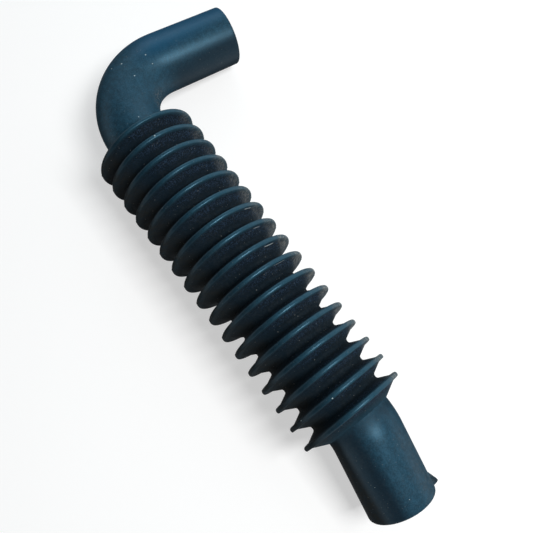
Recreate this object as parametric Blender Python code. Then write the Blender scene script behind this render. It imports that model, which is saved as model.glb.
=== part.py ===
"""A moulded rubber vent hose for a washing machine, lying on the floor.

The hose is one hollow moulding. Its bellows of round convolutions runs along +X. At the +X end
a plain cuff leaves it, bent a little down and aside, with a small wedge-shaped tab at its mouth.
At the -X end an elbow turns the duct towards +Y and tapers to the mouth of a short arm. The hose
rests on the rims of its convolutions and on the lowest point of each mouth. Lengths are in
metres, and the origin is on the floor under the middle of the hose.
"""
import math

import bmesh
import bpy
from mathutils import Matrix, Vector

MM = 0.001

# Bellows, outside
CONVOLUTIONS = 17
PITCH = 8.28 * MM
CREST_RADIUS = 22.0 * MM
ROOT_RADIUS = 15.1 * MM
ROOT_WIDTH = 1.7 * MM
RIM_HEIGHT = 2.4 * MM
RIM_BASE_WIDTH = 1.9 * MM
RIM_WIDTH = 1.6 * MM
RIM_ROUND = 0.5 * MM

# Bellows, inside
BELLOWS_WALL = 1.5 * MM
GROOVE_TIP_WIDTH = 0.6 * MM

# Elbow and its arm
ELBOW_RADIUS = 13.5 * MM
ELBOW_LEAD = 3.3 * MM
ELBOW_BEND_RADIUS = 24.9 * MM
ELBOW_TURN = math.radians(97.0)
ARM_LENGTH = 32.4 * MM
ARM_RADIUS = 12.7 * MM
ARM_WALL = 2.4 * MM

# Cuff
CUFF_RADIUS = 13.5 * MM
CUFF_NECK = 0.4 * MM
CUFF_BEND_RADIUS = 18.5 * MM
CUFF_TURN = math.radians(19.7)
CUFF_LENGTH = 27.7 * MM
CUFF_WALL = 2.5 * MM

# Edge of both mouths
MOUTH_CHAMFER = 0.4 * MM

# Tab at the cuff's mouth
TAB_LENGTH = 5.9 * MM
TAB_HEIGHT = 2.4 * MM
TAB_WIDTH = 2.5 * MM
TAB_NOSE = 1.2 * MM
TAB_DROP = math.radians(3.0)

# Resolution of the curved surfaces
SIDES = 20
ELBOW_STEPS = 10
CUFF_STEPS = 4

# How far a cutter passes the face that it cuts, and how deep a joined piece roots in the wall
OVERLAP = 1.5 * MM

RUBBER = (0.020, 0.026, 0.030, 1.0)


def drop_to_floor(turn, bend_radius, length, mouth_radius):
    """Angle under the horizontal at which a bent end has to turn for its mouth to touch the floor.

    The end leaves the bellows' axis, turns by an angle on an arc and goes on straight. The floor
    lies one crest radius under the axis.
    """
    reach = bend_radius * (1 - math.cos(turn)) + length * math.sin(turn)
    sine = 0.0
    for _ in range(20):
        tilt = math.sin(turn) * sine
        mouth_drop = mouth_radius * math.sqrt(1 - tilt * tilt)
        sine = min(1.0, (CREST_RADIUS - mouth_drop) / reach)
    return math.asin(sine)


ELBOW_DROP = drop_to_floor(ELBOW_TURN, ELBOW_BEND_RADIUS, ARM_LENGTH, ARM_RADIUS)
CUFF_DROP = drop_to_floor(CUFF_TURN, CUFF_BEND_RADIUS, CUFF_LENGTH, CUFF_RADIUS)
ELBOW_SIDE = Vector((0, math.cos(ELBOW_DROP), -math.sin(ELBOW_DROP)))
CUFF_SIDE = Vector((0, -math.cos(CUFF_DROP), -math.sin(CUFF_DROP)))

# Distances along the centre line, from the first convolution's crest, positive towards the cuff
BELLOWS_START = -PITCH / 2
BELLOWS_END = (CONVOLUTIONS - 0.5) * PITCH
ELBOW_START = BELLOWS_START - ELBOW_LEAD
ARM_START = ELBOW_START - ELBOW_BEND_RADIUS * ELBOW_TURN
ARM_END = ARM_START - ARM_LENGTH
CUFF_START = BELLOWS_END + CUFF_NECK
CUFF_STRAIGHT = CUFF_START + CUFF_BEND_RADIUS * CUFF_TURN
CUFF_END = CUFF_STRAIGHT + CUFF_LENGTH


def bent_end(start, ahead, side, radius, turn, travelled):
    """Point and direction after travelling round an arc towards side, then straight on."""
    turned = min(travelled / radius, turn)
    heading = ahead * math.cos(turned) + side * math.sin(turned)
    point = start + ahead * radius * math.sin(turned) + side * radius * (1 - math.cos(turned))
    return point + heading * (travelled - radius * turned), heading


def centre_line(distance):
    """Point of the duct's centre line, and its direction towards the cuff."""
    along = Vector((1, 0, 0))
    if distance > CUFF_START:
        return bent_end(along * CUFF_START, along, CUFF_SIDE,
                        CUFF_BEND_RADIUS, CUFF_TURN, distance - CUFF_START)
    if distance < ELBOW_START:
        point, heading = bent_end(along * ELBOW_START, -along, ELBOW_SIDE,
                                  ELBOW_BEND_RADIUS, ELBOW_TURN, ELBOW_START - distance)
        return point, -heading
    return along * distance, along


def bellows_stations(half_profile):
    """Repeats one side of a convolution's section, crest to root, to both sides of each crest."""
    stations = []
    for count in range(CONVOLUTIONS):
        crest = count * PITCH
        stations += [(crest - offset, radius) for offset, radius in reversed(half_profile)]
        stations += [(crest + offset, radius) for offset, radius in half_profile]
    return stations


def elbow_radius(distance):
    """Outer radius of the elbow and its arm, which taper evenly to the mouth."""
    share = (ELBOW_START - distance) / (ELBOW_START - ARM_END)
    return ELBOW_RADIUS + (ARM_RADIUS - ELBOW_RADIUS) * share


def steps_between(start, end, count):
    """Distances from start to end in even steps, both ends included."""
    return [start + (end - start) * step / count for step in range(count + 1)]


def outer_stations():
    """The outer skin, from the arm's mouth to the cuff's mouth, as distances and radii."""
    arm = [(ARM_END, ARM_RADIUS - MOUTH_CHAMFER),
           (ARM_END + MOUTH_CHAMFER, elbow_radius(ARM_END + MOUTH_CHAMFER))]
    elbow = [(distance, elbow_radius(distance))
             for distance in steps_between(ARM_START, ELBOW_START, ELBOW_STEPS)]
    shoulder = [(BELLOWS_START, ELBOW_RADIUS)]
    bellows = bellows_stations([
        (RIM_WIDTH / 2 - RIM_ROUND, CREST_RADIUS),
        (RIM_WIDTH / 2, CREST_RADIUS - RIM_ROUND),
        (RIM_BASE_WIDTH / 2, CREST_RADIUS - RIM_HEIGHT),
        (PITCH / 2 - ROOT_WIDTH / 2, ROOT_RADIUS),
    ])
    neck = [(BELLOWS_END, CUFF_RADIUS)]
    cuff = [(distance, CUFF_RADIUS)
            for distance in steps_between(CUFF_START, CUFF_STRAIGHT, CUFF_STEPS)]
    mouth = [(CUFF_END - MOUTH_CHAMFER, CUFF_RADIUS),
             (CUFF_END, CUFF_RADIUS - MOUTH_CHAMFER)]
    return arm + elbow + shoulder + bellows + neck + cuff + mouth


def bore_stations():
    """The duct inside, open past both mouths, with an even wall in the bellows."""
    rim_base = CREST_RADIUS - RIM_HEIGHT
    run = PITCH / 2 - ROOT_WIDTH / 2 - RIM_BASE_WIDTH / 2
    slope = (rim_base - ROOT_RADIUS) / run
    shift = BELLOWS_WALL / math.sin(math.atan(slope))
    root_radius = ROOT_RADIUS - BELLOWS_WALL
    root_offset = RIM_BASE_WIDTH / 2 + (rim_base - root_radius) / slope - shift
    tip_offset = GROOVE_TIP_WIDTH / 2
    tip_radius = rim_base - (tip_offset + shift - RIM_BASE_WIDTH / 2) * slope

    arm = [(ARM_END - OVERLAP, ARM_RADIUS - ARM_WALL)]
    elbow = [(distance, elbow_radius(distance) - ARM_WALL)
             for distance in steps_between(ARM_START, ELBOW_START, ELBOW_STEPS)]
    shoulder = [(BELLOWS_START, ELBOW_RADIUS - ARM_WALL)]
    bellows = bellows_stations([(tip_offset, tip_radius), (root_offset, root_radius)])
    neck = [(BELLOWS_END, CUFF_RADIUS - CUFF_WALL)]
    cuff = [(distance, CUFF_RADIUS - CUFF_WALL)
            for distance in steps_between(CUFF_START, CUFF_STRAIGHT, CUFF_STEPS)]
    mouth = [(CUFF_END + OVERLAP, CUFF_RADIUS - CUFF_WALL)]
    return arm + elbow + shoulder + bellows + neck + cuff + mouth


def clear_scene():
    """Removes every object and collection of the open file."""
    for item in list(bpy.data.objects):
        bpy.data.objects.remove(item, do_unlink=True)
    for group in list(bpy.data.collections):
        bpy.data.collections.remove(group)


def new_collection(name):
    """Adds a collection to the scene."""
    group = bpy.data.collections.new(name)
    bpy.context.scene.collection.children.link(group)
    return group


def to_mesh(source, name, group):
    """Turns a curve object into a closed mesh object in the same place."""
    bpy.context.view_layer.update()
    depsgraph = bpy.context.evaluated_depsgraph_get()
    mesh = bpy.data.meshes.new_from_object(source.evaluated_get(depsgraph))
    mesh.name = name
    body = bmesh.new()
    body.from_mesh(mesh)
    bmesh.ops.remove_doubles(body, verts=body.verts, dist=0.00001)
    body.to_mesh(mesh)
    body.free()
    result = bpy.data.objects.new(name, mesh)
    result.matrix_world = source.matrix_world
    group.objects.link(result)
    bpy.data.objects.remove(source, do_unlink=True)
    return result


def tube(name, stations, group):
    """A solid round tube along the centre line, with its own radius at each station."""
    curve = bpy.data.curves.new(name + "_path", "CURVE")
    curve.dimensions = "3D"
    curve.twist_mode = "Z_UP"
    # At a depth of one metre, each point's radius is the tube's real radius there.
    curve.bevel_depth = 1.0
    curve.bevel_resolution = (SIDES - 4) // 2
    curve.use_fill_caps = True
    spline = curve.splines.new("POLY")
    spline.points.add(len(stations) - 1)
    for point, (distance, radius) in zip(spline.points, stations):
        point.co = centre_line(distance)[0].to_4d()
        point.radius = radius
    path = bpy.data.objects.new(name + "_path", curve)
    group.objects.link(path)
    return to_mesh(path, name, group)


def tab_solid(group):
    """The wedge at the cuff's mouth: an outline in the plane of the cuff's axis, extruded sideways."""
    mouth, heading = centre_line(CUFF_END)
    outward = Vector((0, math.cos(TAB_DROP), -math.sin(TAB_DROP)))
    outward = (outward - heading * outward.dot(heading)).normalized()
    foot = CUFF_RADIUS - OVERLAP
    outline = [
        (-TAB_LENGTH, foot),
        (-MOUTH_CHAMFER, foot),
        (-MOUTH_CHAMFER, CUFF_RADIUS),
        (-TAB_NOSE, CUFF_RADIUS + TAB_HEIGHT),
        (-TAB_LENGTH, CUFF_RADIUS),
    ]
    curve = bpy.data.curves.new("tab_outline", "CURVE")
    curve.dimensions = "2D"
    curve.fill_mode = "BOTH"
    curve.extrude = TAB_WIDTH / 2
    spline = curve.splines.new("POLY")
    spline.points.add(len(outline) - 1)
    spline.use_cyclic_u = True
    for point, (along, out) in zip(spline.points, outline):
        point.co = (along, out, 0, 1)
    shape = bpy.data.objects.new("tab_outline", curve)
    frame = Matrix((heading, outward, heading.cross(outward))).transposed().to_4x4()
    shape.matrix_world = Matrix.Translation(mouth) @ frame
    group.objects.link(shape)
    return to_mesh(shape, "tab", group)


def rubber_material():
    """Matt black rubber with a slight blue cast."""
    material = bpy.data.materials.new("rubber")
    material.use_nodes = True
    shader = material.node_tree.nodes["Principled BSDF"]
    shader.inputs["Base Color"].default_value = RUBBER
    shader.inputs["Roughness"].default_value = 0.55
    shader.inputs["Metallic"].default_value = 0.0
    material.diffuse_color = RUBBER
    return material


def combine(target, operation, other):
    """Adds a Boolean modifier and makes the other solid a hidden guide."""
    modifier = target.modifiers.new(other.name, "BOOLEAN")
    modifier.operation = operation
    modifier.solver = "EXACT"
    modifier.object = other
    other.hide_render = True
    other.display_type = "WIRE"
    other.parent = target


def build():
    """Makes the hose and sets it down over the origin."""
    clear_scene()
    hose_group = new_collection("vent_hose")
    guide_group = new_collection("cutters")

    hose = tube("vent_hose", outer_stations(), hose_group)
    combine(hose, "UNION", tab_solid(guide_group))
    combine(hose, "DIFFERENCE", tube("bore", bore_stations(), guide_group))
    hose.data.materials.append(rubber_material())
    hose.data.shade_smooth()
    hose.data.set_sharp_from_angle(angle=math.radians(50))

    corners = [[vertex.co[axis] for vertex in hose.data.vertices] for axis in range(3)]
    hose.location = (
        -(min(corners[0]) + max(corners[0])) / 2,
        -(min(corners[1]) + max(corners[1])) / 2,
        -min(corners[2]),
    )
    bpy.context.view_layer.update()


build()
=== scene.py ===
import math

import bmesh
import bpy
import numpy as np
from mathutils import Matrix, Vector


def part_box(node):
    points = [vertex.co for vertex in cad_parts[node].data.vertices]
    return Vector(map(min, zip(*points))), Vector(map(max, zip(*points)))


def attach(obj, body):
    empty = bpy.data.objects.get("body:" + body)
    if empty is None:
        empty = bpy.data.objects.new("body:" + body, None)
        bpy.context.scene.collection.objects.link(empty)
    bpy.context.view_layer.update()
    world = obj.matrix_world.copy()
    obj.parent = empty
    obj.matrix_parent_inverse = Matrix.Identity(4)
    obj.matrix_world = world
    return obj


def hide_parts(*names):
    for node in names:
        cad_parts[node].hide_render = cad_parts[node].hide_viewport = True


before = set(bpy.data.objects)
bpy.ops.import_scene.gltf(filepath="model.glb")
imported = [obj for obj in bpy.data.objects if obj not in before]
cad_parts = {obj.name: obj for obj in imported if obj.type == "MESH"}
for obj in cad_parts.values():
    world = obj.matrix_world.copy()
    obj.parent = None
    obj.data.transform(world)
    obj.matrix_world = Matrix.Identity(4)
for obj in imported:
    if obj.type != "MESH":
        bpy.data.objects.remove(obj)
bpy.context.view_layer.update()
scene = bpy.context.scene


# The duct's line. The hose is one rubber moulding, stripped hot off a bent steel core, so one
# centre line carries every section: arm, elbow, bellows and cuff. Its distances run from the
# crest of the first convolution, towards the cuff.
MM = 0.001
CONVOLUTIONS = 17
PITCH = 8.28 * MM
CREST_RADIUS = 22.0 * MM
ELBOW_RADIUS = 13.5 * MM
ELBOW_LEAD = 3.3 * MM
ELBOW_BEND_RADIUS = 24.9 * MM
ELBOW_TURN = math.radians(97.0)
ARM_LENGTH = 32.4 * MM
ARM_RADIUS = 12.7 * MM
CUFF_RADIUS = 13.5 * MM
CUFF_NECK = 0.4 * MM
CUFF_BEND_RADIUS = 18.5 * MM
CUFF_TURN = math.radians(19.7)
CUFF_LENGTH = 27.7 * MM
DROP_ROUNDS = 20


def drop_to_floor(turn, bend_radius, length, mouth_radius):
    """Angle under the horizontal at which a bent end turns for its mouth to touch the floor."""
    reach = bend_radius * (1 - math.cos(turn)) + length * math.sin(turn)
    sine = 0.0
    for _ in range(DROP_ROUNDS):
        tilt = math.sin(turn) * sine
        sine = (CREST_RADIUS - mouth_radius * math.sqrt(1 - tilt * tilt)) / reach
    return math.asin(sine)


ELBOW_DROP = drop_to_floor(ELBOW_TURN, ELBOW_BEND_RADIUS, ARM_LENGTH, ARM_RADIUS)
CUFF_DROP = drop_to_floor(CUFF_TURN, CUFF_BEND_RADIUS, CUFF_LENGTH, CUFF_RADIUS)
ALONG = Vector((1, 0, 0))
ELBOW_SIDE = Vector((0, math.cos(ELBOW_DROP), -math.sin(ELBOW_DROP)))
CUFF_SIDE = Vector((0, -math.cos(CUFF_DROP), -math.sin(CUFF_DROP)))
PARTING_NORMAL = ALONG.cross(ELBOW_SIDE)

BELLOWS_START = -PITCH / 2
BELLOWS_END = (CONVOLUTIONS - 0.5) * PITCH
ELBOW_START = BELLOWS_START - ELBOW_LEAD
ARM_START = ELBOW_START - ELBOW_BEND_RADIUS * ELBOW_TURN
ARM_END = ARM_START - ARM_LENGTH
CUFF_START = BELLOWS_END + CUFF_NECK
CUFF_STRAIGHT = CUFF_START + CUFF_BEND_RADIUS * CUFF_TURN
CUFF_END = CUFF_STRAIGHT + CUFF_LENGTH


def bent_end(start, ahead, side, radius, turn, travelled):
    """Point and direction after travelling round an arc towards side, then straight on."""
    turned = min(travelled / radius, turn)
    heading = ahead * math.cos(turned) + side * math.sin(turned)
    point = start + ahead * radius * math.sin(turned) + side * radius * (1 - math.cos(turned))
    return point + heading * (travelled - radius * turned), heading


def centre_line(distance):
    """Point of the duct's centre line, and its direction towards the cuff."""
    if distance > CUFF_START:
        return bent_end(ALONG * CUFF_START, ALONG, CUFF_SIDE,
                        CUFF_BEND_RADIUS, CUFF_TURN, distance - CUFF_START)
    if distance < ELBOW_START:
        point, heading = bent_end(ALONG * ELBOW_START, -ALONG, ELBOW_SIDE,
                                  ELBOW_BEND_RADIUS, ELBOW_TURN, ELBOW_START - distance)
        return point, -heading
    return ALONG * distance, ALONG


def ring_axes(heading):
    """Two directions across the duct: in the mould's parting plane, and square to it."""
    across = PARTING_NORMAL.cross(heading).normalized()
    return across, heading.cross(across)


# The bellows. Seventeen round convolutions of the same black rubber, each a thin-walled V with
# a solid rounded rim. The mould's inserts form the outside, and the core the grooves inside.
# The rims fall off a little towards the cuff, and the last few lean out of square.
ROOT_RADIUS = 15.1 * MM
ROOT_WIDTH = 1.7 * MM
RIM_HEIGHT = 2.4 * MM
RIM_BASE_WIDTH = 1.9 * MM
RIM_CROWN = 0.20 * MM
RIM_TO_CUFF = 0.80 * MM
RIM_FALL = 0.20 * MM
RIM_TO_ELBOW = 0.95 * MM
RIM_BASE_TO_ELBOW = 1.10 * MM
BELLOWS_WALL = 1.5 * MM
GROOVE_TIP_WIDTH = 0.6 * MM
LEAN = math.radians(1.8)
LEAN_START = 12 * PITCH
LEAN_FULL = 16 * PITCH
LEAN_GONE = 12 * MM
crown_round = (0.3 * MM, 1)
rim_edge_round = (0.42 * MM, 3)
rim_back_round = (0.82 * MM, 4)
flank_base_round = (1.4 * MM, 2)
root_round = (0.9 * MM, 2)

rim_base = CREST_RADIUS - RIM_HEIGHT
flank_run = PITCH / 2 - ROOT_WIDTH / 2 - RIM_BASE_WIDTH / 2
flank_slope = (rim_base - ROOT_RADIUS) / flank_run
wall_shift = BELLOWS_WALL / math.sin(math.atan(flank_slope))
bore_root = ROOT_RADIUS - BELLOWS_WALL
bore_root_offset = RIM_BASE_WIDTH / 2 + (rim_base - bore_root) / flank_slope - wall_shift
groove_tip = rim_base - (GROOVE_TIP_WIDTH / 2 + wall_shift - RIM_BASE_WIDTH / 2) * flank_slope


def rounded_outline(corners, rounds):
    """An outline through corners, each inner corner turned into an arc of (radius, steps)."""
    outline = [corners[0]]
    for before, corner, after, (radius, steps) in zip(corners, corners[1:], corners[2:], rounds):
        point = Vector(corner)
        back = (Vector(before) - point).normalized()
        on = (Vector(after) - point).normalized()
        half = back.angle(on) / 2
        centre = point + (back + on).normalized() * (radius / math.sin(half))
        start = point + back * (radius / math.tan(half)) - centre
        end = point + on * (radius / math.tan(half)) - centre
        swing = start.angle(end)
        for step in range(steps + 1):
            share = step / steps
            spoke = start * math.sin(swing * (1 - share)) + end * math.sin(swing * share)
            outline.append(tuple(centre + spoke / math.sin(swing)))
    outline.append(corners[-1])
    return outline


root_corners = [(PITCH / 2 - ROOT_WIDTH / 2, ROOT_RADIUS), (PITCH / 2, ROOT_RADIUS)]
rim_corners_to_cuff = [(0, CREST_RADIUS), (RIM_CROWN, CREST_RADIUS),
                       (RIM_TO_CUFF, CREST_RADIUS - RIM_FALL), (RIM_BASE_WIDTH / 2, rim_base)]
rim_corners_to_elbow = [(0, CREST_RADIUS), (RIM_TO_ELBOW, CREST_RADIUS),
                        (RIM_BASE_TO_ELBOW, rim_base)]
outside_to_cuff = rounded_outline(rim_corners_to_cuff + root_corners,
                                  [crown_round, rim_edge_round, flank_base_round, root_round])
outside_to_elbow = rounded_outline(rim_corners_to_elbow + root_corners,
                                   [rim_back_round, flank_base_round, root_round])
groove_inside = [(0, groove_tip), (GROOVE_TIP_WIDTH / 2, groove_tip),
                 (bore_root_offset, bore_root), (PITCH / 2, bore_root)]


def bellows_rings(to_elbow, to_cuff, last_half):
    """Repeats the two halves of a convolution's outline, crest to root, at every crest."""
    rings = []
    for count in range(CONVOLUTIONS):
        crest = count * PITCH
        cuff_half = last_half if count == CONVOLUTIONS - 1 else to_cuff
        rings += [(crest - offset, radius) for offset, radius in reversed(to_elbow[1:])]
        rings += [(crest + offset, radius) for offset, radius in cuff_half[:-1]]
    return rings


def leaning(distance):
    """Angle by which the ring at a distance leans out of square, towards the elbow's side."""
    if distance < LEAN_FULL:
        share = (distance - LEAN_START) / (LEAN_FULL - LEAN_START)
    else:
        share = 1 - (distance - LEAN_FULL) / LEAN_GONE
    share = min(1.0, max(0.0, share))
    return LEAN * share * share * (3 - 2 * share)


# The elbow and its arm. A plain thick-walled tube that turns the duct through a right angle and
# tapers a little towards its mouth, so that it can be worked over an outlet. The rubber is
# gathered in shallow creases at the inner side of the bend.
ARM_WALL = 2.4 * MM
ARM_MOUTH_ROUND = 0.4 * MM
MOUTH_STEPS = 4
STRAIGHT_STEP = 1.6 * MM
ELBOW_STEP = 0.7 * MM
BEND_STEP = 0.6 * MM
BORE_STRAIGHT_STEP = 6 * MM
BORE_BEND_STEP = 2 * MM
CLEAR_OF_MOUTH = 1.5 * MM
CLEAR_OF_BELLOWS = 0.3 * MM
CREASE_DEPTH = 0.13 * MM
CREASE_SPACING = 3.4 * MM
CREASE_HALF_ANGLE = math.radians(55)
CREASE_START = ARM_START + 14 * MM
CREASE_WANDER = 1.7
CREASE_WAVES = 2.3


def elbow_radius(distance):
    """Outer radius of the elbow and its arm, which taper evenly to the mouth."""
    share = (ELBOW_START - distance) / (ELBOW_START - ARM_END)
    return ELBOW_RADIUS + (ARM_RADIUS - ELBOW_RADIUS) * share


def elbow_bore(distance):
    """Radius of the bore of the elbow and its arm."""
    return elbow_radius(distance) - ARM_WALL


def even_steps(start, end, step):
    """Distances from start up to, but not including, end, about one step apart."""
    count = max(1, round((end - start) / step))
    return [start + (end - start) * index / count for index in range(count)]


def tube_rings(start, end, step, radius_at):
    """The (distance, radius) rings of a plain tube from start up to end."""
    return [(distance, radius_at(distance)) for distance in even_steps(start, end, step)]


def mouth_rings(end, inward, radius, rounding):
    """The rounded edge of a mouth, from its flat face to the tube's side."""
    rings = []
    for step in range(MOUTH_STEPS + 1):
        angle = math.pi / 2 * (1 - step / MOUTH_STEPS)
        rings.append((end + inward * rounding * (1 - math.sin(angle)),
                      radius - rounding * (1 - math.cos(angle))))
    return rings


def crease_height(distance, angles):
    """Shallow gathers round the inner side of the elbow, next to the bellows."""
    if not CREASE_START < distance < BELLOWS_START:
        return np.zeros(len(angles))
    along = (distance - CREASE_START) / (BELLOWS_START - CREASE_START)
    from_inside = np.minimum(angles, 2 * math.pi - angles)
    inner_side = np.clip(1 - from_inside / CREASE_HALF_ANGLE, 0, 1)
    phase = 2 * math.pi * distance / CREASE_SPACING + CREASE_WANDER * np.sin(CREASE_WAVES * angles)
    return CREASE_DEPTH * math.sin(math.pi * along) * inner_side ** 2 * np.sin(phase)


arm_outside = mouth_rings(ARM_END, 1, ARM_RADIUS, ARM_MOUTH_ROUND)
arm_outside += tube_rings(ARM_END + CLEAR_OF_MOUTH, ARM_START, STRAIGHT_STEP, elbow_radius)
arm_outside += tube_rings(ARM_START, ELBOW_START, ELBOW_STEP, elbow_radius)
arm_outside += tube_rings(ELBOW_START, BELLOWS_START - CLEAR_OF_BELLOWS, BEND_STEP, elbow_radius)
arm_inside = tube_rings(ARM_END, ARM_START, BORE_STRAIGHT_STEP, elbow_bore)
arm_inside += tube_rings(ARM_START, ELBOW_START, BORE_BEND_STEP, elbow_bore)
arm_inside += [(ELBOW_START, ELBOW_RADIUS - ARM_WALL), (BELLOWS_START, ELBOW_RADIUS - ARM_WALL)]


# The cuff. A plain tube bent a little off the bellows' line, which stretches over a spigot. It
# is moulded in one with the rest: the last flank runs straight down to it under a thin ridge,
# and a small wedge at its mouth lines the hose up.
CUFF_WALL = 2.5 * MM
CUFF_BORE = CUFF_RADIUS - CUFF_WALL
CUFF_MOUTH_ROUND = 0.8 * MM
CUFF_BORE_BEND_STEP = 1.6 * MM
NECK_GAP = 0.15 * MM
LAST_FLANK_STEPS = 12
neck_round = (0.15 * MM, 2)
RIDGE_MIDDLE = Vector((136.31, 5.50, 13.92)) * MM
RIDGE_ACROSS = Vector((0.992, -0.125, 0.035)).normalized()
RIDGE_HEIGHT = 0.12 * MM
RIDGE_HALF_WIDTH = 0.30 * MM
RIDGE_GONE = 0.15
RIDGE_FADE = 0.35
TAB_LENGTH = 5.9 * MM
TAB_HEIGHT = 2.4 * MM
TAB_WIDTH = 2.5 * MM
TAB_NOSE = 1.2 * MM
TAB_BLUNT = 0.90
TAB_EDGE_DEGREES = 0.3
TAB_STEP = 0.3 * MM
TAB_MARGIN = 0.5 * MM
TAB_OFF_TOP = math.radians(3.0)
TAB_LIFT = ELBOW_DROP - TAB_OFF_TOP
TAB_BACK = CUFF_END - TAB_LENGTH - TAB_MARGIN
MOUTH_GAP = 0.1 * MM
CUFF_SIDE_END = CUFF_END - CUFF_MOUTH_ROUND - MOUTH_GAP


def cuff_radius(distance):
    """Outer radius of the cuff, the same all along."""
    return CUFF_RADIUS


def cuff_bore(distance):
    """Radius of the cuff's bore, the same all along."""
    return CUFF_BORE


def finer_flank(outline, steps):
    """The same outline with its longest piece, the flank, cut into steps."""
    longest = max(range(len(outline) - 1), key=lambda at: math.dist(outline[at], outline[at + 1]))
    start, end = Vector(outline[longest]), Vector(outline[longest + 1])
    between = [tuple(start.lerp(end, step / steps)) for step in range(1, steps)]
    return outline[:longest + 1] + between + outline[longest + 1:]


last_to_cuff = finer_flank(rounded_outline(
    rim_corners_to_cuff + [(PITCH / 2 - NECK_GAP, CUFF_RADIUS), (PITCH / 2, CUFF_RADIUS)],
    [crown_round, rim_edge_round, flank_base_round, neck_round]), LAST_FLANK_STEPS)
last_groove_inside = groove_inside[:-1] + [
    (bore_root_offset + (bore_root - CUFF_BORE) / flank_slope, CUFF_BORE), (PITCH / 2, CUFF_BORE)]

cuff_outside = [(BELLOWS_END, CUFF_RADIUS)]
cuff_outside += tube_rings(CUFF_START, CUFF_STRAIGHT, BEND_STEP, cuff_radius)
cuff_outside += tube_rings(CUFF_STRAIGHT, TAB_BACK, STRAIGHT_STEP, cuff_radius)
cuff_outside += tube_rings(TAB_BACK, CUFF_SIDE_END, TAB_STEP, cuff_radius)
cuff_outside += list(reversed(mouth_rings(CUFF_END, -1, CUFF_RADIUS, CUFF_MOUTH_ROUND)))
cuff_inside = [(BELLOWS_END, CUFF_BORE)]
cuff_inside += tube_rings(CUFF_START, CUFF_STRAIGHT, CUFF_BORE_BEND_STEP, cuff_bore)
cuff_inside += tube_rings(CUFF_STRAIGHT, CUFF_END, BORE_STRAIGHT_STEP, cuff_bore)
cuff_inside += [(CUFF_END, CUFF_BORE)]


def neck_ridge(points, angles):
    """Height of the thin ridge that runs askew over the last flank and fades to its sides."""
    away = np.abs((points - np.array(RIDGE_MIDDLE)) @ np.array(RIDGE_ACROSS))
    upward = np.clip((np.sin(angles) - RIDGE_GONE) / RIDGE_FADE, 0, 1)
    return RIDGE_HEIGHT * np.clip(1 - away / RIDGE_HALF_WIDTH, 0, 1) * upward


def tab_height(distance, angles):
    """How far the locating wedge stands off the cuff at each angle."""
    back = CUFF_END - distance
    ramp = min(1.0, max(0.0, (TAB_LENGTH - back) / (TAB_LENGTH - TAB_NOSE)))
    nose = min(1.0, max(0.0, back / TAB_NOSE))
    half = TAB_WIDTH / 2 / CUFF_RADIUS
    edge = math.radians(TAB_EDGE_DEGREES)
    side = np.clip((half + edge - np.abs(angles - TAB_LIFT)) / (2 * edge), 0, 1)
    return TAB_HEIGHT * min(ramp, nose, TAB_BLUNT) * side


# The skin. All the sections above are swept into one closed surface, a hair inside the solid's,
# as the hose leaves its mould: with a fine line of flash where the mould's halves met on both
# sides of the bellows.
COLUMN_STEP = 3
FLASH_HEIGHT = 0.14 * MM
FLASH_HALF_ANGLE = 1.0
SKIN_INSET = 0.06 * MM
SHARP_ANGLE = math.radians(50)


def column_angles():
    """Angles round the duct, closer together at the two parting lines and at the tab's sides."""
    angles = set(range(0, 360, COLUMN_STEP))
    for seam in (0, 180):
        angles |= {(seam + offset) % 360 for offset in (-FLASH_HALF_ANGLE, FLASH_HALF_ANGLE)}
    tab = math.degrees(TAB_LIFT)
    tab_half = math.degrees(TAB_WIDTH / 2 / CUFF_RADIUS)
    angles |= {round(tab + side * tab_half + offset, 3)
               for side in (-1, 1) for offset in (-TAB_EDGE_DEGREES, TAB_EDGE_DEGREES)}
    return np.radians(sorted(angles))


def flash_height(angles):
    """The fine ridge left at both parting lines."""
    turned = np.degrees(np.minimum(angles % math.pi, math.pi - angles % math.pi))
    return FLASH_HEIGHT * np.clip(1 - turned / FLASH_HALF_ANGLE, 0, 1)


def ring_points(distance, radius, angles, outside):
    """The ring of points at one distance, as they lie on the finished skin."""
    centre, heading = centre_line(distance)
    heading = Matrix.Rotation(leaning(distance), 3, "Z") @ heading
    across, square = ring_axes(heading)
    radii = np.full(len(angles), radius)
    if outside:
        radii = radii - SKIN_INSET + crease_height(distance, angles)
    if outside and BELLOWS_START <= distance <= BELLOWS_END:
        radii = radii + flash_height(angles)
    if outside and distance > CUFF_END - TAB_LENGTH:
        radii = radii + tab_height(distance, angles)
    spokes = np.outer(np.cos(angles), across) + np.outer(np.sin(angles), square)
    points = np.array(centre) + spokes * radii[:, None]
    if outside and distance > LEAN_FULL and radius < rim_base:
        points = points + spokes * neck_ridge(points, angles)[:, None]
    return points


def make_skin():
    """Stitches the outside, both mouths' faces and the bore into one closed mesh."""
    angles = column_angles()
    outside = arm_outside + bellows_rings(outside_to_elbow, outside_to_cuff, last_to_cuff) + cuff_outside
    inside = arm_inside + bellows_rings(groove_inside, groove_inside, last_groove_inside) + cuff_inside
    rings = [ring_points(distance, radius, angles, True) for distance, radius in outside]
    rings += [ring_points(distance, radius, angles, False) for distance, radius in reversed(inside)]
    columns = len(angles)
    count = len(rings)
    this_ring, column = np.divmod(np.arange(count * columns), columns)
    next_ring = (this_ring + 1) % count
    next_column = (column + 1) % columns
    faces = np.stack([
        this_ring * columns + column,
        this_ring * columns + next_column,
        next_ring * columns + next_column,
        next_ring * columns + column,
    ], axis=1)
    mesh = bpy.data.meshes.new("hose_skin")
    mesh.from_pydata(np.concatenate(rings).tolist(), [], faces.tolist())
    return mesh


hose = bpy.data.objects.new("hose_skin", make_skin())
scene.collection.objects.link(hose)
hose.data.shade_smooth()
hose.data.set_sharp_from_angle(angle=SHARP_ANGLE)

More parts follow.
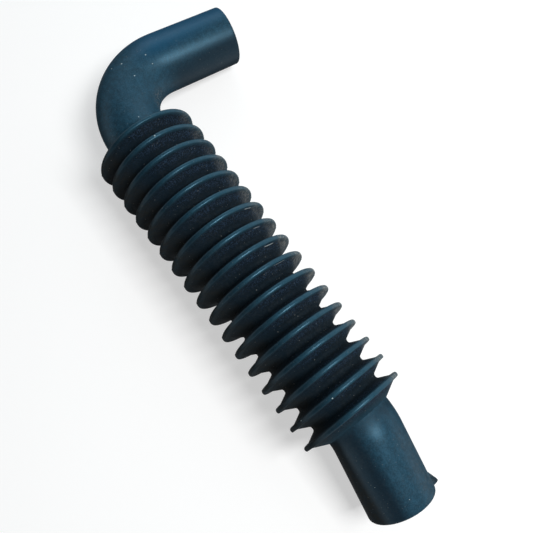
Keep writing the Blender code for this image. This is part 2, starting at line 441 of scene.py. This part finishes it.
low, high = (Vector(corner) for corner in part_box("vent_hose"))
span = [vertex.co.x for vertex in hose.data.vertices]
hose_place = Vector(((low.x + high.x - min(span) - max(span)) / 2,
                     low.y + CREST_RADIUS, low.z + CREST_RADIUS))
hose.data.transform(Matrix.Translation(hose_place))

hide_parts("vent_hose")
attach(hose, "root")


# The rubber's effects. Small node groups that the rubber is mixed from: its blotchy tone and
# fine grain, the film of dust, loose grit, single pale grains that stuck to it, painted glints,
# and the distance from the bellows' line. A pair of numbers holds the ends of a smooth change,
# and four numbers add the values there.
BLOTCH_RANGE = (0.36, 0.66)
SPECKLE_RANGE = (0.38, 0.62)
CLOUDS_PER_METRE = 95
CLOUD_RANGE = (0.30, 0.70)
LEAST_CLOUD = 0.35
FLECKS_PER_METRE = 900
FLECK_RANGE = (0.42, 0.66)
LEAST_FLECK = 0.25
GRIT_SIZES = (0.10, 0.24)
GRIT_EDGE = 0.06
GRAIN_EDGE = (1.0, 0.45)
GLINT_SIDE_EDGE = (1.0, 0.3)
GLINT_END_EDGE = (1.0, 0.5)


def new_group(name, inputs, outputs):
    """An empty shader node group with its sockets, and its inlet and outlet."""
    group = bpy.data.node_groups.new(name, "ShaderNodeTree")
    for label, kind in inputs:
        group.interface.new_socket(label, in_out="INPUT", socket_type=kind)
    for label, kind in outputs:
        group.interface.new_socket(label, in_out="OUTPUT", socket_type=kind)
    return group, group.nodes.new("NodeGroupInput").outputs, group.nodes.new("NodeGroupOutput").inputs


def put(tree, kind, **settings):
    """Adds a node. A setting named after a property sets it, any other sets the input socket."""
    node = tree.nodes.new(kind)
    for name, value in settings.items():
        if hasattr(node, name):
            setattr(node, name, value)
        else:
            node.inputs[name.replace("_", " ")].default_value = value
    return node


def feed(tree, socket, value):
    """Gives an input socket a link or a plain value."""
    if isinstance(value, bpy.types.NodeSocket):
        tree.links.new(value, socket)
    else:
        socket.default_value = value


def use_group(tree, group, **values):
    """Places a node group with its own values and returns its outputs."""
    node = put(tree, "ShaderNodeGroup", node_tree=group)
    for name, value in values.items():
        feed(tree, node.inputs[name.replace("_", " ")], value)
    return node.outputs


def climb(tree, source, start, end, low_value=0.0, high_value=1.0):
    """A smooth climb from one value to another while the source goes from start to end."""
    node = put(tree, "ShaderNodeMapRange", interpolation_type="SMOOTHSTEP")
    for label, value in (("Value", source), ("From Min", start), ("From Max", end),
                         ("To Min", low_value), ("To Max", high_value)):
        feed(tree, node.inputs[label], value)
    return node.outputs["Result"]


def maths(tree, operation, first, second=0.0):
    """One sum of two numbers, each a socket or a plain value."""
    node = put(tree, "ShaderNodeMath", operation=operation)
    feed(tree, node.inputs[0], first)
    feed(tree, node.inputs[1], second)
    return node.outputs[0]


def folded(tree, operation, values):
    """One sum carried through a list of values, such as their product or their total."""
    result = values[0]
    for value in values[1:]:
        result = maths(tree, operation, result, value)
    return result


def times(tree, *values):
    """The product of several masks or numbers."""
    return folded(tree, "MULTIPLY", values)


def total(tree, *values):
    """The total of several masks or numbers."""
    return folded(tree, "ADD", values)


def strongest(tree, *values):
    """The strongest of several masks at every place."""
    return folded(tree, "MAXIMUM", values)


def layer(tree, share, under, over):
    """Lays one colour over another by a share."""
    node = put(tree, "ShaderNodeMix", data_type="RGBA")
    feed(tree, node.inputs["Factor"], share)
    feed(tree, node.inputs[6], under)
    feed(tree, node.inputs[7], over)
    return node.outputs[2]


def noise(tree, place, scale, detail, roughness=0.5):
    """Noise over the object's own space, in lumps about 1 / scale metres across."""
    node = put(tree, "ShaderNodeTexNoise", Detail=detail, Roughness=roughness)
    feed(tree, node.inputs["Vector"], place)
    feed(tree, node.inputs["Scale"], scale)
    return node.outputs["Fac"]


def vector_sum(tree, operation, first, second=None):
    """One sum of two vectors, each a socket or a plain value."""
    node = put(tree, "ShaderNodeVectorMath", operation=operation)
    feed(tree, node.inputs[0], first)
    if second is not None:
        feed(tree, node.inputs[1], second)
    return node.outputs


def tone_group():
    """Blotches of the rubber's own colour, and its fine grain."""
    group, inlet, outlet = new_group(
        "rubber_tone", [("Place", "NodeSocketVector"), ("Blotches", "NodeSocketFloat"),
                        ("Grains", "NodeSocketFloat")],
        [("Tone", "NodeSocketFloat"), ("Speckle", "NodeSocketFloat"), ("Grain", "NodeSocketFloat")])
    blotches = noise(group, inlet["Place"], inlet["Blotches"], detail=5, roughness=0.62)
    group.links.new(climb(group, blotches, *BLOTCH_RANGE), outlet["Tone"])
    speckle = noise(group, inlet["Place"], inlet["Grains"], detail=2)
    group.links.new(climb(group, speckle, *SPECKLE_RANGE), outlet["Speckle"])
    grain = noise(group, inlet["Place"], inlet["Grains"], detail=3, roughness=0.6)
    group.links.new(grain, outlet["Grain"])
    return group


def film_group():
    """A thin uneven film of dust, in clouds that break up into fine flecks."""
    group, inlet, outlet = new_group(
        "dust_film", [("Place", "NodeSocketVector"), ("Amount", "NodeSocketFloat")],
        [("Film", "NodeSocketFloat")])
    clouds = noise(group, inlet["Place"], CLOUDS_PER_METRE, detail=3)
    clouds = climb(group, clouds, *CLOUD_RANGE, LEAST_CLOUD, 1.0)
    flecks = noise(group, inlet["Place"], FLECKS_PER_METRE, detail=4, roughness=0.7)
    flecks = climb(group, flecks, *FLECK_RANGE, LEAST_FLECK, 1.0)
    group.links.new(times(group, clouds, flecks, inlet["Amount"]), outlet["Film"])
    return group


def grit_group():
    """Loose pale grit: one fine speck in a share of the cells, each of its own size."""
    group, inlet, outlet = new_group(
        "loose_grit", [("Place", "NodeSocketVector"), ("Spread", "NodeSocketFloat"),
                       ("Share", "NodeSocketFloat")],
        [("Specks", "NodeSocketFloat")])
    cells = put(group, "ShaderNodeTexVoronoi")
    group.links.new(inlet["Place"], cells.inputs["Vector"])
    group.links.new(inlet["Spread"], cells.inputs["Scale"])
    chance = put(group, "ShaderNodeSeparateColor")
    group.links.new(cells.outputs["Color"], chance.inputs["Color"])
    size = climb(group, chance.outputs["Green"], 0.0, 1.0, *GRIT_SIZES)
    speck = climb(group, maths(group, "SUBTRACT", size, cells.outputs["Distance"]), 0.0, GRIT_EDGE)
    chosen = maths(group, "LESS_THAN", chance.outputs["Red"], inlet["Share"])
    group.links.new(times(group, speck, chosen), outlet["Specks"])
    return group


def grain_group():
    """One pale grain that stuck at a spot."""
    group, inlet, outlet = new_group(
        "stuck_grain", [("Place", "NodeSocketVector"), ("Spot", "NodeSocketVector"),
                        ("Size", "NodeSocketFloat")],
        [("Grain", "NodeSocketFloat")])
    away = vector_sum(group, "DISTANCE", inlet["Place"], inlet["Spot"])["Value"]
    share = maths(group, "DIVIDE", away, inlet["Size"])
    group.links.new(climb(group, share, *GRAIN_EDGE), outlet["Grain"])
    return group


def glint_group():
    """One short painted glint along a rim."""
    group, inlet, outlet = new_group(
        "glint", [("Place", "NodeSocketVector"), ("Middle", "NodeSocketVector"),
                  ("Way", "NodeSocketVector"), ("Half Length", "NodeSocketFloat"),
                  ("Half Width", "NodeSocketFloat")],
        [("Glint", "NodeSocketFloat")])
    away = vector_sum(group, "SUBTRACT", inlet["Place"], inlet["Middle"])["Vector"]
    along = vector_sum(group, "DOT_PRODUCT", away, inlet["Way"])["Value"]
    length = vector_sum(group, "LENGTH", away)["Value"]
    across = maths(group, "SUBTRACT", times(group, length, length), times(group, along, along))
    across = maths(group, "SQRT", maths(group, "MAXIMUM", across, 0.0))
    narrow = climb(group, maths(group, "DIVIDE", across, inlet["Half Width"]), *GLINT_SIDE_EDGE)
    run = maths(group, "DIVIDE", maths(group, "ABSOLUTE", along), inlet["Half Length"])
    group.links.new(times(group, narrow, climb(group, run, *GLINT_END_EDGE)), outlet["Glint"])
    return group


def axis_distance_group():
    """How far a place is from a line along X."""
    group, inlet, outlet = new_group(
        "axis_distance", [("Place", "NodeSocketVector"), ("Axis", "NodeSocketVector")],
        [("Distance", "NodeSocketFloat")])
    away = vector_sum(group, "SUBTRACT", inlet["Place"], inlet["Axis"])["Vector"]
    flat = vector_sum(group, "MULTIPLY", away, (0, 1, 1))["Vector"]
    group.links.new(vector_sum(group, "LENGTH", flat)["Value"], outlet["Distance"])
    return group


# The rubber. Carbon-black rubber off a smooth steel mould, with a bluish bloom on the ends and
# rims and a rougher, duller skin in the grooves, which painted shade darkens further. Dust lies on
# the side away from the cuff's lean, with grains and crumbs here and there. Painted light and
# shade lie over it: black roots, black on the sides of the bellows, cuff and arm, the neck and the
# tab, a bluer tint on the arm's upper side, a brown floor reflection low down, and short glints
# under a few rims.
BLUE_BLACK = (0.0075, 0.0260, 0.0420, 1)
BLUE_BLOOM = (0.0150, 0.0570, 0.0920, 1)
# Painted light: a bluer tint for the blue light that falls on the arm's upper side.
ARM_BLUE_LIGHT = (0.0030, 0.0520, 0.1100, 1)
RIM_TEAL = (0.0110, 0.0460, 0.0700, 1)
# Painted shade: the black laid on the arm, cuff, neck and tab where they lie in shade.
PAINTED_SHADE_BLACK = (0.0045, 0.0095, 0.0160, 1)
# Painted shade: black for the bellows' near side, away from the lamps.
SHADED_SIDE_BLACK = (0.0022, 0.0060, 0.0105, 1)
# The grooves' colours: darker than the rims, partly the grooves' own duller skin and partly painted
# shade in the recess.
GROOVE_SHADE_BLACK = (0.0018, 0.0030, 0.0060, 1)
GROOVE_SHADE_BLOOM = (0.0190, 0.0360, 0.0660, 1)
# Painted shade: black at the roots of the grooves, where light hardly reaches.
ROOT_SHADE_BLACK = (0.0012, 0.0022, 0.0036, 1)
# Painted reflection and shade: the brown of the floor reflected in the rubber, low down and on the near
# sides.
PAINTED_FLOOR_BROWN = (0.0150, 0.0120, 0.0085, 1)
PALE_DUST = (0.2500, 0.2500, 0.2300, 1)
GRAIN_WHITE = (0.40, 0.50, 0.52, 1)
# Painted highlight: white for the short glints under a few rims.
GLINT_WHITE = (0.50, 0.55, 0.55, 1)
GLOSS_TINT = (0.38, 0.75, 1.0, 1)
GLOSS_LEVEL = 0.34


def skin_point(distance, radius, angle):
    """The place on the hose at a distance along the duct and an angle round it."""
    centre, heading = centre_line(distance)
    across, square = ring_axes(heading)
    return hose_place + centre + (across * math.cos(angle) + square * math.sin(angle)) * radius


SKIN_BLEND = 0.5 * MM
NECK_BLEND = 2 * MM
LAST_FLANK_SHARE = 0.25
# Painted shade: the flanks facing the cuff count as deeper, so the groove's darker colour, roughness and
# grit reach higher on them.
CUFF_FLANK_SHADE = 0.8 * MM
GROOVE_EDGE = (0.7 * MM, 3.4 * MM)
CUFF_LINE_SHARE = 0.5
CUFF_BEGINS = (-1 * MM, 2 * MM)
NECK_REACH = (7 * MM, 1 * MM)


def hose_masks(tree):
    """Where a point lies against the hose's own lines, and which part of the hose it is on."""
    mask = {}
    coordinates = put(tree, "ShaderNodeTexCoord").outputs
    mask["place"] = coordinates["Object"]
    parts = put(tree, "ShaderNodeSeparateXYZ")
    tree.links.new(mask["place"], parts.inputs[0])
    mask["along"] = parts.outputs["X"]
    mask["sideways"] = parts.outputs["Y"]
    mask["height"] = parts.outputs["Z"]
    outward = put(tree, "ShaderNodeSeparateXYZ")
    tree.links.new(coordinates["Normal"], outward.inputs[0])
    mask["down_duct"] = maths(tree, "SUBTRACT", mask["along"], hose_place.x)
    mask["off_middle"] = maths(tree, "SUBTRACT", mask["sideways"], hose_place.y)
    mask["from_axis"] = use_group(tree, axis_distance_group(), Place=mask["place"],
                                  Axis=hose_place)["Distance"]
    mask["round_it"] = maths(tree, "DIVIDE", mask["off_middle"], mask["from_axis"])

    last_edge = (CONVOLUTIONS - 1) * PITCH + RIM_TO_CUFF
    mask["bellows"] = times(
        tree,
        climb(tree, mask["down_duct"], BELLOWS_START - SKIN_BLEND, BELLOWS_START + SKIN_BLEND),
        climb(tree, mask["down_duct"], BELLOWS_END, last_edge, LAST_FLANK_SHARE, 1.0),
        climb(tree, mask["down_duct"], BELLOWS_END + NECK_BLEND, BELLOWS_END))
    # The groove mask also carries painted shade: it reaches higher on the flanks facing the cuff.
    depth = total(tree, maths(tree, "SUBTRACT", CREST_RADIUS, mask["from_axis"]),
                  times(tree, outward.outputs["X"], CUFF_FLANK_SHADE))
    mask["groove"] = times(tree, mask["bellows"], climb(tree, depth, *GROOVE_EDGE))

    mask["past_neck"] = maths(tree, "SUBTRACT", mask["down_duct"], BELLOWS_END)
    cuff_lean = CUFF_SIDE.y * math.tan(CUFF_TURN) * CUFF_LINE_SHARE
    cuff_line = times(tree, maths(tree, "MAXIMUM", mask["past_neck"], 0.0), cuff_lean)
    mask["off_cuff_line"] = maths(tree, "SUBTRACT", mask["off_middle"], cuff_line)
    mask["cuff"] = climb(tree, mask["past_neck"], *CUFF_BEGINS)
    mask["neck"] = times(tree, mask["cuff"], climb(tree, mask["past_neck"], *NECK_REACH))
    return mask


BLOTCH_SHARE = 0.45
SPECKLE_SHARE = 0.55
RIM_TEAL_SHARE = 0.7
GROOVE_TONES = (0.6, 1.0)
SPECKLE_POWER = 2.2
# Painted shade at the roots of the grooves.
ROOT_SHADE = (18.5 * MM, 15.5 * MM, 0.0, 0.85)
# Painted shade on the bellows' near side.
SHADED_SIDE = (0.02, -0.55, 0.0, 0.75)


def rubber_with_painted_shade(tree, mask, tone):
    """The rubber's colour: bluish where smooth, darker in the grooves (partly their own duller skin,
    partly painted shade), with painted shade blackest at the roots and black on the bellows' near side.
    """
    mottle = total(tree, times(tree, tone["Tone"], BLOTCH_SHARE),
                   times(tree, tone["Speckle"], SPECKLE_SHARE))
    smooth = layer(tree, mottle, BLUE_BLACK, BLUE_BLOOM)
    smooth = layer(tree, times(tree, mask["bellows"], RIM_TEAL_SHARE), smooth, RIM_TEAL)
    # The grooves' colour, partly their own duller skin and partly painted shade in the recess.
    groove_tone = times(tree, climb(tree, tone["Tone"], 0.0, 1.0, *GROOVE_TONES),
                        maths(tree, "POWER", tone["Speckle"], SPECKLE_POWER))
    groove = layer(tree, groove_tone, GROOVE_SHADE_BLACK, GROOVE_SHADE_BLOOM)
    # Painted shade: blackest at the roots of the grooves.
    groove = layer(tree, climb(tree, mask["from_axis"], *ROOT_SHADE), groove, ROOT_SHADE_BLACK)
    colour = layer(tree, mask["groove"], smooth, groove)
    # Painted shade: the bellows' near side turns black.
    shaded_side = times(tree, mask["bellows"], climb(tree, mask["round_it"], *SHADED_SIDE))
    return layer(tree, shaded_side, colour, SHADED_SIDE_BLACK)


# Where the painted blue light lies: the arm's upper side, near its mouth.
ARM_BLUE_LIGHT_SIDEWAYS = (-8 * MM, 10 * MM)
ARM_BLUE_LIGHT_ALONG = (-89 * MM, -97 * MM, 0.0, 0.85)
ARM_BLUE_LIGHT_HEIGHT = (8 * MM, 17 * MM)
# Where the painted shade lies: the arm's side towards the cuff, the cuff's two sides, the neck and the
# tab.
ARM_SHADE_SIDEWAYS = (2 * MM, 12 * MM)
ARM_SHADE_ALONG = (-90 * MM, -83 * MM, 0.0, 0.9)
CUFF_NEAR_SHADE = (-0.5 * MM, -6.5 * MM, 0.0, 0.85)
CUFF_FAR_SHADE = (3 * MM, 10 * MM, 0.0, 0.22)
NECK_SHADE = 0.55
TAB_SHADE_SIZE = 4.5 * MM


def add_painted_light_and_shade(tree, mask, colour, stuck_grain):
    """A painted bluer tint of light on the arm's upper side, and painted shade in black on the cuff's
    two sides, the arm's side towards the cuff, the neck and the tab.
    """
    # Painted light: the arm's upper side is tinted bluer, as blue light falls there.
    arm_blue_light = times(tree, climb(tree, mask["sideways"], *ARM_BLUE_LIGHT_SIDEWAYS),
                      climb(tree, mask["along"], *ARM_BLUE_LIGHT_ALONG),
                      climb(tree, mask["height"], *ARM_BLUE_LIGHT_HEIGHT))
    colour = layer(tree, arm_blue_light, colour, ARM_BLUE_LIGHT)
    # Painted shade: black on the cuff's near and far sides, the arm's side towards the cuff, the neck
    # and the tab.
    near_cuff = times(tree, mask["cuff"], climb(tree, mask["off_cuff_line"], *CUFF_NEAR_SHADE))
    far_cuff = times(tree, mask["cuff"], climb(tree, mask["off_cuff_line"], *CUFF_FAR_SHADE))
    inner_arm = times(tree, climb(tree, mask["sideways"], *ARM_SHADE_SIDEWAYS),
                      climb(tree, mask["along"], *ARM_SHADE_ALONG))
    tab_middle = skin_point(CUFF_END - TAB_LENGTH / 2, CUFF_RADIUS + TAB_HEIGHT, TAB_LIFT)
    tab = use_group(tree, stuck_grain, Place=mask["place"], Spot=tab_middle, Size=TAB_SHADE_SIZE)
    neck = times(tree, mask["neck"], NECK_SHADE)
    painted_shade = strongest(tree, near_cuff, far_cuff, inner_arm, tab["Grain"], neck)
    return layer(tree, painted_shade, colour, PAINTED_SHADE_BLACK)


DUSTY_SIDE = (15.0 * MM, 20.8 * MM, 0.01, 1.0)
DUSTY_RUN = (0, 85 * MM, 0.45, 1.35)
DUST_EVERYWHERE = 0.03
CUFF_DUST_FROM_NECK = (6 * MM, 17 * MM)
CUFF_DUST = (3 * MM, 10 * MM, 0.0, 0.10)
# Where the painted brown floor reflection and shade lie.
FLOOR_BROWN_HEIGHT = (14 * MM, 4 * MM)
FLOOR_BROWN_ROUND_BELLOWS = (-0.50, -0.88)
FLOOR_BROWN_BESIDE_CUFF = (-9.5 * MM, -12.5 * MM)
FLOOR_BROWN_TONES = (0.55, 0.95)


def dust_film(tree, mask):
    """The film of dust, thicker on the bellows' far side and towards the cuff."""
    far_side = times(tree, climb(tree, mask["off_middle"], *DUSTY_SIDE),
                     climb(tree, mask["down_duct"], *DUSTY_RUN), mask["bellows"])
    cuff_dust = times(tree, climb(tree, mask["past_neck"], *CUFF_DUST_FROM_NECK),
                      climb(tree, mask["off_cuff_line"], *CUFF_DUST))
    amount = total(tree, far_side, DUST_EVERYWHERE, cuff_dust)
    return use_group(tree, film_group(), Place=mask["place"], Amount=amount)["Film"]


def floor_brown_and_shade(tree, mask):
    """How far painted shade and a painted brown floor reflection darken the rubber: low down, and low on
    the bellows' and cuff's near side.
    """
    near_side = times(tree, climb(tree, mask["round_it"], *FLOOR_BROWN_ROUND_BELLOWS), mask["bellows"])
    cuff_side = times(tree, climb(tree, mask["off_cuff_line"], *FLOOR_BROWN_BESIDE_CUFF), mask["cuff"])
    return strongest(tree, climb(tree, mask["height"], *FLOOR_BROWN_HEIGHT), near_side, cuff_side)


CRUMB_SPOT = (-25.5 * MM, 13.0 * MM, math.radians(4))
CRUMB_REACH = 8 * MM
CRUMBS_PER_METRE = 1500
CRUMB_RANGE = (0.46, 0.62)
CRUMB_SHARE = 0.25
GRIT_PER_METRE = 950.0
GRIT_SHARE = 0.22
GRIT_STRENGTHS = (0.14, 0.34)
grain_spots = [
    (-33.4, 13.2, 108.7, 0.38), (-41.9, 13.1, 83.8, 0.34), (-41.3, 13.1, 63.7, 0.26),
    (-29.8, 13.3, 76.8, 0.34), (-7.2, 13.5, 82.0, 0.26), (-31.2, 13.2, 125.7, 0.26),
    (8.2, 22.0, 90.0, 0.42), (124.9, 21.8, 109.3, 0.36), (124.1, 22.0, 148.9, 0.34),
    (156.1, 13.5, 131.1, 0.17), (164.8, 13.5, 92.3, 0.19),
]


def crumbs_in_corner(tree, mask, stuck_grain):
    """Pale crumbs caught in the corner between the elbow and the bellows."""
    corner = use_group(tree, stuck_grain, Place=mask["place"], Spot=skin_point(*CRUMB_SPOT),
                       Size=CRUMB_REACH)["Grain"]
    crumbs = noise(tree, mask["place"], CRUMBS_PER_METRE, detail=4, roughness=0.75)
    return times(tree, climb(tree, crumbs, *CRUMB_RANGE), corner)


def stuck_grains(tree, mask, stuck_grain):
    """The grains at their (distance, radius, angle, size)."""
    return strongest(tree, *[
        use_group(tree, stuck_grain, Place=mask["place"], Size=size * MM,
                  Spot=skin_point(distance * MM, radius * MM, math.radians(angle)))["Grain"]
        for distance, radius, angle, size in grain_spots])


# Where the painted glints lie under the rims.
GLINT_OUT = 1.02 * MM
GLINT_HALF_WIDTH = 0.33 * MM
GLINT_BREAKS_PER_METRE = 1800
GLINT_BREAKS = (0.35, 0.55, 0.5, 1.0)
glint_spots = [
    (6, 51.3, 20.3, 2.6, 1.0), (7, 57.3, 19.6, 2.2, 0.5), (8, 59.3, 19.5, 3.2, 1.0),
    (9, 66.0, 20.2, 3.5, 0.7),
]


def rim_glints(tree, mask):
    """The painted glints under the rims, at their (convolution, angle, radius, half length, strength).
    """
    group = glint_group()
    glints = []
    for count, angle, radius, half_length, strength in glint_spots:
        distance = count * PITCH + GLINT_OUT
        middle = skin_point(distance, radius * MM, math.radians(angle))
        way = (skin_point(distance, CREST_RADIUS, math.radians(angle + 1)) -
               skin_point(distance, CREST_RADIUS, math.radians(angle - 1))).normalized()
        glint = use_group(tree, group, Place=mask["place"], Middle=middle, Way=way,
                          Half_Length=half_length * MM, Half_Width=GLINT_HALF_WIDTH)["Glint"]
        glints.append(times(tree, glint, strength))
    breaks = noise(tree, mask["place"], GLINT_BREAKS_PER_METRE, detail=2)
    return times(tree, strongest(tree, *glints), climb(tree, breaks, *GLINT_BREAKS))


BLOTCHES_PER_METRE = 480.0
GRAINS_PER_METRE = 1900.0
FACING_ROUGHNESS = (0.20, 0.85, 0.30, 1.0)
GRAIN_ROUGHNESS = (0.3, 0.7, -0.04, 0.06)
ELBOW_ROUGHNESS = (-78 * MM, -92 * MM, 0.0, 0.17)
ELBOW_SIDEWAYS = (8 * MM, -8 * MM)
FILM_ROUGHNESS = 0.5
GROOVE_ROUGHNESS = 0.6
SMOOTH_END_ROUGHNESS = 0.09
NECK_ROUGHNESS = 0.16
FLOOR_BROWN_ROUGHNESS = 0.4
GRAIN_RELIEF = 0.35
GRIT_RELIEF = 0.5
STUCK_GRAIN_RELIEF = 2.0
RELIEF_DEPTH = 0.04 * MM


def rubber_material():
    """The rubber's colour, roughness and fine relief."""
    material = bpy.data.materials.new("vent_hose_rubber")
    material.use_nodes = True
    tree = material.node_tree
    shader = tree.nodes["Principled BSDF"]
    stuck_grain = grain_group()
    mask = hose_masks(tree)
    tone = use_group(tree, tone_group(), Place=mask["place"],
                     Blotches=BLOTCHES_PER_METRE, Grains=GRAINS_PER_METRE)

    colour = rubber_with_painted_shade(tree, mask, tone)
    colour = add_painted_light_and_shade(tree, mask, colour, stuck_grain)
    film = dust_film(tree, mask)
    colour = layer(tree, film, colour, PALE_DUST)
    floor_brown = floor_brown_and_shade(tree, mask)
    # Painted brown floor reflection and shade, low down and on the near sides.
    floor_brown_colour = times(tree, floor_brown, climb(tree, tone["Tone"], 0.0, 1.0, *FLOOR_BROWN_TONES))
    colour = layer(tree, floor_brown_colour, colour, PAINTED_FLOOR_BROWN)
    crumbs = crumbs_in_corner(tree, mask, stuck_grain)
    colour = layer(tree, times(tree, crumbs, CRUMB_SHARE), colour, PALE_DUST)
    grit = use_group(tree, grit_group(), Place=mask["place"], Spread=GRIT_PER_METRE,
                     Share=GRIT_SHARE)["Specks"]
    grit_strength = climb(tree, mask["groove"], 0.0, 1.0, *GRIT_STRENGTHS)
    colour = layer(tree, times(tree, grit, grit_strength), colour, PALE_DUST)
    # Painted glints under four rims.
    colour = layer(tree, rim_glints(tree, mask), colour, GLINT_WHITE)
    grains = stuck_grains(tree, mask, stuck_grain)
    colour = layer(tree, grains, colour, GRAIN_WHITE)
    tree.links.new(colour, shader.inputs["Base Color"])

    facing = put(tree, "ShaderNodeLayerWeight", Blend=0.5).outputs["Facing"]
    elbow = times(tree, climb(tree, mask["along"], *ELBOW_ROUGHNESS),
                  climb(tree, mask["sideways"], *ELBOW_SIDEWAYS))
    smooth_ends = maths(tree, "SUBTRACT", 1.0, mask["bellows"])
    roughness = total(
        tree,
        climb(tree, facing, *FACING_ROUGHNESS),
        climb(tree, tone["Grain"], *GRAIN_ROUGHNESS),
        elbow,
        times(tree, film, FILM_ROUGHNESS),
        times(tree, mask["groove"], GROOVE_ROUGHNESS),
        times(tree, smooth_ends, SMOOTH_END_ROUGHNESS),
        times(tree, mask["neck"], NECK_ROUGHNESS),
        times(tree, floor_brown, FLOOR_BROWN_ROUGHNESS))
    tree.links.new(maths(tree, "MINIMUM", roughness, 1.0), shader.inputs["Roughness"])
    shader.inputs["Specular IOR Level"].default_value = GLOSS_LEVEL
    shader.inputs["Specular Tint"].default_value = GLOSS_TINT

    relief = total(tree, times(tree, tone["Grain"], GRAIN_RELIEF), crumbs,
                   times(tree, grit, GRIT_RELIEF), times(tree, grains, STUCK_GRAIN_RELIEF))
    bump = put(tree, "ShaderNodeBump", Distance=RELIEF_DEPTH, Strength=1.0)
    tree.links.new(relief, bump.inputs["Height"])
    tree.links.new(bump.outputs["Normal"], shader.inputs["Normal"])
    return material


hose.data.materials.append(rubber_material())


# The floor. A plain pale sheet that the hose lies on. It shows as white to the eye and in
# reflections, and still takes the hose's shadow.
PAPER = (0.50, 0.495, 0.485, 1)
PAPER_ROUGHNESS = 0.9
PAPER_GLOSS = 0.1
FLOOR_HALF_SIZE = 3.0
LIT_REACH = 0.35
GLOW_REACH = 4 * LIT_REACH
NEAR_GLOW = 0.55
FAR_GLOW = 0.93
floor_mesh = bpy.data.meshes.new("floor")
floor_body = bmesh.new()
bmesh.ops.create_grid(floor_body, x_segments=1, y_segments=1, size=FLOOR_HALF_SIZE)
floor_body.to_mesh(floor_mesh)
floor_body.free()
floor = bpy.data.objects.new("floor", floor_mesh)
scene.collection.objects.link(floor)


def seen_directly(tree):
    """1 for the camera's rays and for those that a glossy or clear surface sends on, else 0."""
    path = put(tree, "ShaderNodeLightPath")
    return strongest(tree, path.outputs["Is Camera Ray"], path.outputs["Is Glossy Ray"],
                     path.outputs["Is Transmission Ray"])


def floor_material():
    """Pale paper, lifted to white where it is seen."""
    material = bpy.data.materials.new("pale_floor")
    material.use_nodes = True
    tree = material.node_tree
    shader = tree.nodes["Principled BSDF"]
    shader.inputs["Base Color"].default_value = PAPER
    shader.inputs["Roughness"].default_value = PAPER_ROUGHNESS
    shader.inputs["Specular IOR Level"].default_value = PAPER_GLOSS
    shader.inputs["Emission Color"].default_value = (1, 1, 1, 1)
    place = put(tree, "ShaderNodeTexCoord").outputs["Object"]
    from_middle = vector_sum(tree, "LENGTH", place)["Value"]
    glow = climb(tree, from_middle, LIT_REACH, GLOW_REACH, NEAR_GLOW, FAR_GLOW)
    tree.links.new(times(tree, seen_directly(tree), glow), shader.inputs["Emission Strength"])
    return material


floor.data.materials.append(floor_material())


# The light. A dim pale room whose wall shows white low down, and three soft boxes: one above,
# between the cuff and the arm's side, a wide window from the arm's side, and a weaker one from
# beyond the elbow.
ROOM_STRENGTH = 0.03
WALL_STRENGTH = 0.90
WALL_TOP = 0.50
WALL_FULL = 0.22
world = bpy.data.worlds.new("studio")
world.use_nodes = True
room_tree = world.node_tree
direction = put(room_tree, "ShaderNodeSeparateXYZ")
room_tree.links.new(put(room_tree, "ShaderNodeTexCoord").outputs["Generated"], direction.inputs[0])
wall = climb(room_tree, direction.outputs["Z"], WALL_TOP, WALL_FULL, 0.0, WALL_STRENGTH)
wall = times(room_tree, wall, seen_directly(room_tree))
room = room_tree.nodes["Background"]
room.inputs["Color"].default_value = (1, 1, 1, 1)
room_tree.links.new(total(room_tree, wall, ROOM_STRENGTH), room.inputs["Strength"])
scene.world = world


def soft_box(name, direction, distance, width, depth, watts, colour):
    """A soft box that faces the hose, its width along X."""
    lamp = bpy.data.objects.new(name, bpy.data.lights.new(name, "AREA"))
    lamp.data.shape = "RECTANGLE"
    lamp.data.size = width
    lamp.data.size_y = depth
    lamp.data.energy = watts
    lamp.data.color = colour
    away = Vector(direction).normalized()
    across = (ALONG - away * away.dot(ALONG)).normalized()
    turned = Matrix((across, away.cross(across), away)).transposed()
    lamp.matrix_world = Matrix.Translation(away * distance) @ turned.to_4x4()
    scene.collection.objects.link(lamp)


soft_box("main_soft_box", direction=(0.37, 0.29, 0.88), distance=0.75,
         width=0.24, depth=0.30, watts=5.3, colour=(0.96, 0.98, 1.0))
soft_box("window", direction=(-0.15, 0.80, 0.58), distance=1.0,
         width=0.9, depth=0.9, watts=2.2, colour=(0.86, 0.96, 1.0))
soft_box("far_soft_box", direction=(-0.80, 0.40, 0.45), distance=0.80,
         width=0.45, depth=0.45, watts=1.4, colour=(0.80, 0.93, 1.0))


# The camera. It hangs about a quarter of a metre above the last convolutions and looks almost
# straight down, with the cuff at the bottom of the picture and the elbow at its top left.
CAMERA_FROM_CREST = Vector((126.2, -18.3, 242.7)) * MM
LOOKING = Vector((-0.225, 0.107, -0.968)).normalized()
PICTURE_UP = Vector((-0.766, 0.595, 0.243))
LENS_LENGTH = 43.44
NEAREST_SEEN = 0.01
FARTHEST_SEEN = 10
right = LOOKING.cross(PICTURE_UP).normalized()
camera_turn = Matrix((right, right.cross(LOOKING), -LOOKING)).transposed().to_4x4()
camera = bpy.data.objects.new("camera", bpy.data.cameras.new("camera"))
scene.collection.objects.link(camera)
scene.camera = camera
camera.data.lens = LENS_LENGTH
camera.data.clip_start = NEAREST_SEEN
camera.data.clip_end = FARTHEST_SEEN
camera.matrix_world = Matrix.Translation(hose_place + CAMERA_FROM_CREST) @ camera_turn

scene.view_settings.view_transform = "Standard"
